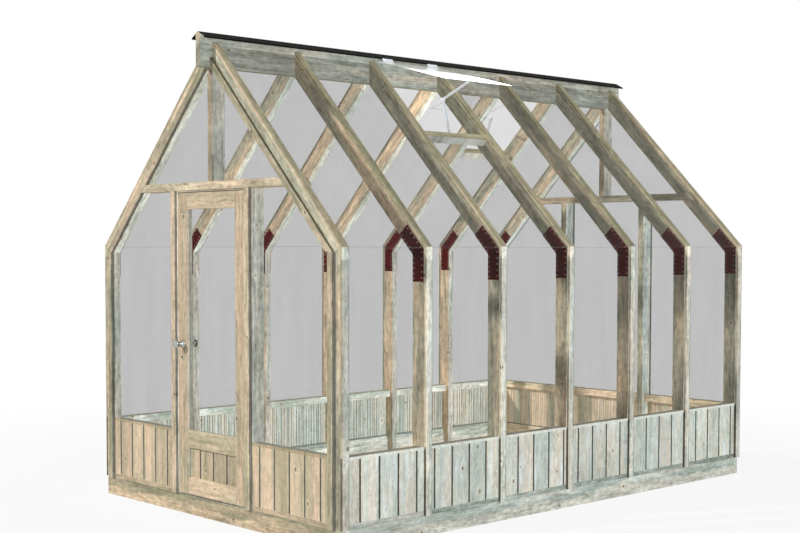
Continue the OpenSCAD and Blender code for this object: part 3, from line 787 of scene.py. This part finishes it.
def buildBoards(node, along, outward, cuts):
    look = boardLook
    pile = pileFor(node, "boards")
    acrossAxis = 1 - along
    inDoor = node == "door_panel"
    for panel in solidsOf(node):
        low, high = boxOf(panel)
        panel.free()
        thick = high[acrossAxis] - low[acrossAxis]
        first, last = low[along] + look["least"], high[along] - look["least"]
        inside = [cut for cut in cuts(low[along], high[along]) if first < cut < last]
        line = high.z - look["doorLine"] if inDoor else low.z + look["footLine"]
        seams = [low[along]] + inside + [high[along]]
        for start, end in zip(seams, seams[1:]):
            outline = boardOutline(start, end, thick, look, start in inside, end in inside)

            def place(point, height):
                spot = Vector((0, 0, height))
                spot[along] = point[0]
                spot[acrossAxis] = low[acrossAxis] + point[1] if outward > 0 else high[acrossAxis] - point[1]
                return spot

            # grooves, seams and reeds are darkened by dirt and painted shade; the top strip of the door panel
            # is the painted shadow of the rail above
            def dirt(face):
                if abs(face.normal.z) > look["topFace"]:
                    return look["topDirt"]
                height = face.calc_center_median().z
                if inDoor and height > line:
                    return look["grooveDirtAndShade"]
                tilt = abs(face.normal[along])
                if tilt > look["seamFace"]:
                    return look["seamDirtAndShade"]
                facingOut = face.normal[acrossAxis] * outward > 0
                if not facingOut and height < low.z + look["footLine"]:
                    return look["footDirt"]
                if tilt > look["grooveFace"]:
                    return look["grooveDirtAndShade"] if facingOut else look["reedDirtAndShade"]
                return 0.0

            # inward faces are lightened, painted light
            def lift(face):
                inward = face.normal[acrossAxis] * outward < -look["insideFace"]
                return look["paintedInsideLight"] if inward else 0.0

            board = prism(outline, lambda point: place(point, low.z), lambda point: place(point, high.z))
            slicePlane(board, (0, 0, line), (0, 0, 1))
            pile.add(
                board, up, dirt=dirt, lift=lift, darker=look["doorDarker"] if inDoor else 0.0,
                cooler=look["cooler"].get(node, 0.0))
    pile.build(node)


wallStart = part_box("right_posts")[0].y


def sideCuts(low, high):
    first = math.floor((low - wallStart) / boardLook["sidePitch"])
    last = math.ceil((high - wallStart) / boardLook["sidePitch"])
    return [wallStart + count * boardLook["sidePitch"] for count in range(first, last + 1)]


def gableCuts(low, high):
    middle = (low + high) / 2
    reach = math.ceil((high - low) / 2 / boardLook["gablePitch"])
    return [middle + count * boardLook["gablePitch"] for count in range(-reach, reach + 1)]


buildBoards("right_cladding", 1, 1, sideCuts)
buildBoards("left_cladding", 1, -1, sideCuts)
buildBoards("front_cladding", 0, -1, gableCuts)
buildBoards("back_cladding", 0, 1, gableCuts)
buildBoards("door_panel", 0, -1, gableCuts)
print("boards laid")


# panes with eased edges; the foot of a wall pane is ground where it laps the boards
paneLook = {
    "ease": 0.0006, "least": 0.02,
    "nodes": [
        "left_wall_glass", "right_wall_glass", "left_roof_glass", "right_roof_glass", "front_gable_glass",
        "back_gable_glass", "vent_panes", "door_glass",
    ],
}


def buildPanes(look):
    for node in look["nodes"]:
        wall, gable = "wall" in node, "gable" in node
        clear = "ventGlass" if node == "vent_panes" else "glass"
        pile = pileFor(node, "glass", clear, "glassEdge", "glassLap" if wall else "gableLap")
        lap = apronTop if wall or gable else 0.0
        for solid in solidsOf(node):
            run = longestRun(solid)
            softenEdges(solid, look["ease"], 1)
            slicePlane(solid, (0, 0, lap), (0, 0, 1))

            def paint(face):
                if face.calc_center_median().z < lap:
                    return 2
                return 1 if face.calc_area() < look["least"] else 0

            pile.add(solid, run, paint=paint)
        piece = pile.build(node)
        piece.visible_shadow = False


buildPanes(paneLook)
print("panes:", len(paneLook["nodes"]))


# knee plates, pressed edges and a row of nails along each long edge
plateLook = {
    "ease": 0.0005, "nails": 5, "nailIn": 0.011, "nailWide": 0.0039, "nailHigh": 0.0012, "longEdge": 0.1,
    "nailSides": 8, "nailFirst": 0.6, "nailSpare": 0.2, "touch": 1e-4,
}
nailProfile = ((1.0, 0.0), (0.86, 0.6), (0.45, 1.0))


# a turned solid, from a radius and a height for each ring; it may end in a point
def turned(profile, centre, first, second, out, sides):
    solid = bmesh.new()
    rings = []
    for radius, lift in profile:
        ring = []
        for count in range(sides if radius > weld else 1):
            turn = 2 * math.pi * count / sides
            spoke = first * math.cos(turn) + second * math.sin(turn)
            ring.append(solid.verts.new(centre + spoke * radius + out * lift))
        rings.append(ring)
    for lower, upper in zip(rings, rings[1:]):
        for here in range(sides):
            after = (here + 1) % sides
            end = [upper[after], upper[here]] if len(upper) > 1 else upper
            solid.faces.new([lower[here], lower[after], *end])
    if len(rings[-1]) > 1:
        solid.faces.new(rings[-1])
    solid.faces.new(list(reversed(rings[0])))
    bmesh.ops.recalc_face_normals(solid, faces=solid.faces)
    return solid


def nailHead(place, out, wide, high, sides):
    first = out.orthogonal().normalized()
    profile = [(wide * share, high * lift) for share, lift in nailProfile]
    return turned(profile, place, first, out.cross(first), out, sides)


def buildPlates(node, look):
    pile = pileFor(node, "knee_steel", "knee_steel", "nailSteel")
    frames = [boxOf(solid) for solid in solidsOf(node.replace("knee_plates", "posts"))]
    for solid in solidsOf(node):
        _, high = boxOf(solid)
        front = any(abs(high.y - box[0].y) < look["touch"] for box in frames)
        out = Vector((0, -1 if front else 1, 0))
        face = max(solid.faces, key=lambda side: side.calc_area() * (side.normal.dot(out) > mostly))
        nails = []
        for loop in face.loops:
            start, end = loop.vert.co, loop.link_loop_next.vert.co
            if (end - start).length < look["longEdge"]:
                continue
            inward = face.normal.cross(end - start).normalized() * look["nailIn"]
            for count in range(look["nails"]):
                share = (count + look["nailFirst"]) / (look["nails"] + look["nailSpare"])
                nails.append(start.lerp(end, share) + inward)
        softenEdges(solid, look["ease"], 1)
        pile.add(solid, up)
        for place in nails:
            head = nailHead(place, out, look["nailWide"], look["nailHigh"], look["nailSides"])
            pile.add(head, up, paint=lambda side: 1)
    pile.build(node)


buildPlates("left_knee_plates", plateLook)
buildPlates("right_knee_plates", plateLook)
print("knee plates nailed")


# two screws at the head of each wall lath
screwLook = {"places": (0.02, 0.058), "wide": 0.0042, "high": 0.0012, "sides": 10}


def buildScrews(look):
    pile = Pile("lathScrews", "building", "hinge_steel", ("hinge_steel",))
    for node, out in (("left_wall_laths", -1), ("right_wall_laths", 1)):
        for solid in solidsOf(node):
            low, high = boxOf(solid)
            face = high.x if out > 0 else low.x
            for drop in look["places"]:
                place = Vector((face, (low.y + high.y) / 2, high.z - drop))
                head = nailHead(place, Vector((out, 0, 0)), look["wide"], look["high"], look["sides"])
                pile.add(head, up)
            solid.free()
    pile.build()


buildScrews(screwLook)


# folded ridge cap with a lip bent down along both edges
capLook = {"lip": 0.0072, "lipThick": 0.0016, "ease": 0.0004}


def buildCap(look):
    low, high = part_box("ridge_cap")
    pile = pileFor("ridge_cap", "ridge_metal")
    for solid in solidsOf("ridge_cap"):
        softenEdges(solid, look["ease"], 1)
        pile.add(solid, Vector((0, 1, 0)))
    for side in (-1, 1):
        edge = Vector((high.x, 0, low.z + look["lipThick"]))
        inner = edge - Vector((look["lipThick"], 0, 0))
        down = Vector((0, 0, -look["lip"] - look["lipThick"]))
        outline = [edge, inner, inner + down, edge + down]

        def place(point, along, side=side):
            return Vector((point.x * side, along, point.z))

        lip = prism(outline, lambda point: place(point, low.y), lambda point: place(point, high.y))
        pile.add(lip, Vector((0, 1, 0)))
    pile.build("ridge_cap")


buildCap(capLook)


# vent hinges, and openers as two bars with a block at the elbow
ventLook = {
    "ease": 0.0012, "blockEase": 0.003, "bar": 0.3, "armThick": 0.008, "elbow": (0.024, 0.022, 0.02),
    "pin": 0.0045, "pinSides": 10, "pinHigh": 0.0015,
    "knuckle": (0.015, 0.086, 0.0205), "knuckleAt": (0.0005, -0.012, -0.00575),
}


def easedBlock(size, centre):
    block = bmesh.new()
    bmesh.ops.create_cube(block, size=1.0)
    for vert in block.verts:
        vert.co = Vector([vert.co[axis] * size[axis] for axis in range(3)]) + centre
    softenEdges(block, ventLook["blockEase"])
    return block


def buildVentGear(look):
    hinges = pileFor("vent_hinges", "vent_metal")
    for solid in solidsOf("vent_hinges"):
        low, high = boxOf(solid)
        softenEdges(solid, look["ease"])
        hinges.add(solid, Vector((0, 1, 0)))
        shiftX, shiftY, shiftZ = look["knuckleAt"]
        strapEnd = high.x + shiftX if high.x > 0 else low.x - shiftX
        hinges.add(
            easedBlock(look["knuckle"], Vector((strapEnd, (low.y + high.y) / 2 + shiftY, high.z + shiftZ))),
            Vector((0, 1, 0)))
    hinges.build("vent_hinges")
    openers = pileFor("vent_openers", "vent_metal")
    for solid in solidsOf("vent_openers"):
        low, high = boxOf(solid)
        wide = (high.y - low.y) * look["bar"]
        face = max(solid.faces, key=lambda side: side.calc_area() * (side.normal.y < -mostly))
        outline = [vert.co.copy() for vert in face.verts]
        inner = min(outline, key=lambda point: abs(point.x))
        centreX = inner.x + math.copysign(look["armThick"] / 2, inner.x)
        elbow = Vector((centreX, (low.y + high.y) / 2, inner.z))
        solid.free()
        for start, end in ((low.y, low.y + wide), (high.y - wide, high.y)):
            bar = prism(
                outline, lambda point: Vector((point.x, start, point.z)),
                lambda point: Vector((point.x, end, point.z)))
            openers.add(bar, up)
        openers.add(easedBlock(look["elbow"], elbow), up)
        for out in (-1, 1):
            spot = elbow + Vector((0, out * look["elbow"][1] / 2, 0))
            pin = nailHead(spot, Vector((0, out, 0)), look["pin"], look["pinHigh"], look["pinSides"])
            openers.add(pin, up)
    openers.build("vent_openers")


buildVentGear(ventLook)
print("vent gear built")


# door knobs, turned, with their rosettes and lock plates
knobLook = {
    "sides": 40, "drop": 0.08, "disc": 0.0265, "keyhole": 0.0072, "smoothAngle": 40.0,
    "profile": [
        (0.025, 0.0), (0.025, 0.003), (0.0236, 0.006), (0.0208, 0.011), (0.0178, 0.018),
        (0.0152, 0.026), (0.0134, 0.034), (0.0132, 0.04), (0.015, 0.044), (0.02, 0.046),
        (0.024, 0.048), (0.0262, 0.0515), (0.0262, 0.0555), (0.024, 0.059), (0.017, 0.061),
        (0.008, 0.0618), (0.0, 0.062)],
    "lockProfile": [
        (0.017, 0.0), (0.017, 0.0028), (0.015, 0.0048), (0.0086, 0.0048), (0.008, 0.0068),
        (0.007, 0.0068), (0.0064, 0.005), (0.0, 0.005)],
}


def buildKnobs(look):
    low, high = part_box("door_knobs")
    stileLow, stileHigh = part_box("door_stiles")
    pile = pileFor("door_knobs", "knob_metal", "knob_metal", "lockMetal", "keyhole")
    centreX = (low.x + high.x) / 2
    centreZ = high.z - look["disc"]
    for face, out in ((stileLow.y, Vector((0, -1, 0))), (stileHigh.y, Vector((0, 1, 0)))):
        centre = Vector((centreX, face, centreZ))
        knob = turned(look["profile"], centre, out.cross(up), up, out, look["sides"])
        pile.add(knob, up, smooth=True)
        lock = centre - Vector((0, 0, look["drop"]))

        def paint(side):
            reach = side.calc_center_median() - lock
            reach.y = 0.0
            return 2 if reach.length < look["keyhole"] else 1

        plate = turned(look["lockProfile"], lock, out.cross(up), up, out, look["sides"])
        pile.add(plate, up, paint=paint, smooth=True)
    piece = pile.build("door_knobs")
    piece.data.set_sharp_from_angle(angle=math.radians(look["smoothAngle"]))


buildKnobs(knobLook)

# hinges keep their solids
for node in ("jamb_hinges", "door_hinges"):
    frame["nodes"][node].data.materials.clear()
    frame["nodes"][node].data.materials.append(finishes["hinge_steel"])
print("door gear built")


# floor, light and camera
stageLook = {
    "floorHalf": 60.0, "floorDrop": 0.0015, "floorColour": (0.62, 0.62, 0.62, 1.0), "floorRough": 0.9,
    "floorWhite": 0.88, "floorNear": 2.5, "floorFar": 6.0, "sky": 0.27,
    "skyColour": (0.88, 0.96, 1.0, 1.0), "shadow": "key",
    "lamps": {
        "key": {"power": 2.3, "colour": (1.0, 0.98, 0.95), "aim": (0.38, 0.79, -0.465), "soft": 3.0},
        "front": {"power": 0.24, "colour": (0.9, 0.97, 1.0), "aim": (0.2, 0.95, -0.2), "soft": 30.0},
        "side": {"power": 1.5, "colour": (1.0, 1.0, 1.0), "aim": (-0.9, -0.04, -0.43), "soft": 30.0},
        "bounce": {"power": 1.3, "colour": (0.97, 1.0, 1.0), "aim": (-0.75, 0.1, 0.65), "soft": 60.0},
        "back": {"power": 1.1, "colour": (1.0, 1.0, 1.0), "aim": (0.7, -0.64, -0.3), "soft": 30.0},
    },
}


def seenDirect(graph):
    path = graph.node("ShaderNodeLightPath", {}, {}, "Is Camera Ray")
    return path.most(path.out("Is Glossy Ray")).most(path.out("Is Transmission Ray"))


def buildFloor(look):
    half, drop = look["floorHalf"], -look["floorDrop"]
    mesh = bpy.data.meshes.new("floor")
    corners = [(-half, -half, drop), (half, -half, drop), (half, half, drop), (-half, half, drop)]
    mesh.from_pydata(corners, [], [(0, 1, 2, 3)])
    floor = bpy.data.objects.new("floor", mesh)
    scene.collection.objects.link(floor)
    material, graph, shader = newFinish("floor", {
        "Base Color": look["floorColour"], "Roughness": look["floorRough"], "Specular IOR Level": 0.0})
    white = graph.node("ShaderNodeEmission", {}, {"Strength": 1.0})
    x, y, _ = graph.split(graph.node("ShaderNodeTexCoord", {}, {}, "Object"))
    clear = graph.rise((x * x + y * y) ** 0.5, look["floorNear"], look["floorFar"])
    share = seenDirect(graph) * (clear * (1.0 - look["floorWhite"]) + look["floorWhite"])
    both = graph.node("ShaderNodeMixShader", {}, {0: share, 1: Wire(graph, shader.outputs[0]), 2: white})
    graph.plug(graph.tree.nodes["Material Output"], {"Surface": both})
    mesh.materials.append(material)


def buildLight(look):
    world = bpy.data.worlds.new("studio")
    world.use_nodes = True
    scene.world = world
    graph = Graph(world.node_tree)
    seen = seenDirect(graph)
    graph.plug(world.node_tree.nodes["Background"], {
        "Color": graph.mix(seen, look["skyColour"], (1.0, 1.0, 1.0, 1.0)),
        "Strength": seen * (1.0 - look["sky"]) + look["sky"],
    })
    for name, lampLook in look["lamps"].items():
        lamp = bpy.data.lights.new(name, "SUN")
        lamp.energy = lampLook["power"]
        lamp.color = lampLook["colour"]
        lamp.angle = math.radians(lampLook["soft"])
        lamp.use_shadow = name == look["shadow"]
        holder = bpy.data.objects.new(name, lamp)
        holder.rotation_mode = "QUATERNION"
        holder.rotation_quaternion = Vector(lampLook["aim"]).to_track_quat("-Z", "Y")
        scene.collection.objects.link(holder)


cameraLook = {
    "place": (6.4454, -6.5003, 1.6294), "turn": 0.8433, "dip": 0.0463, "lens": 60.81, "sensor": 36.0,
    "shift": (0.0596, 0.0489),
}


def buildCamera(look):
    data = bpy.data.cameras.new("view")
    data.sensor_width = look["sensor"]
    data.lens = look["lens"]
    data.shift_x, data.shift_y = look["shift"]
    camera = bpy.data.objects.new("view", data)
    turn, dip = look["turn"], look["dip"]
    aim = Vector((-math.sin(turn) * math.cos(dip), math.cos(turn) * math.cos(dip), -math.sin(dip)))
    camera.location = look["place"]
    camera.rotation_mode = "QUATERNION"
    camera.rotation_quaternion = aim.to_track_quat("-Z", "Y")
    scene.collection.objects.link(camera)
    scene.camera = camera


buildFloor(stageLook)
buildLight(stageLook)
buildCamera(cameraLook)
scene.view_settings.view_transform = "Standard"
print("stage set")
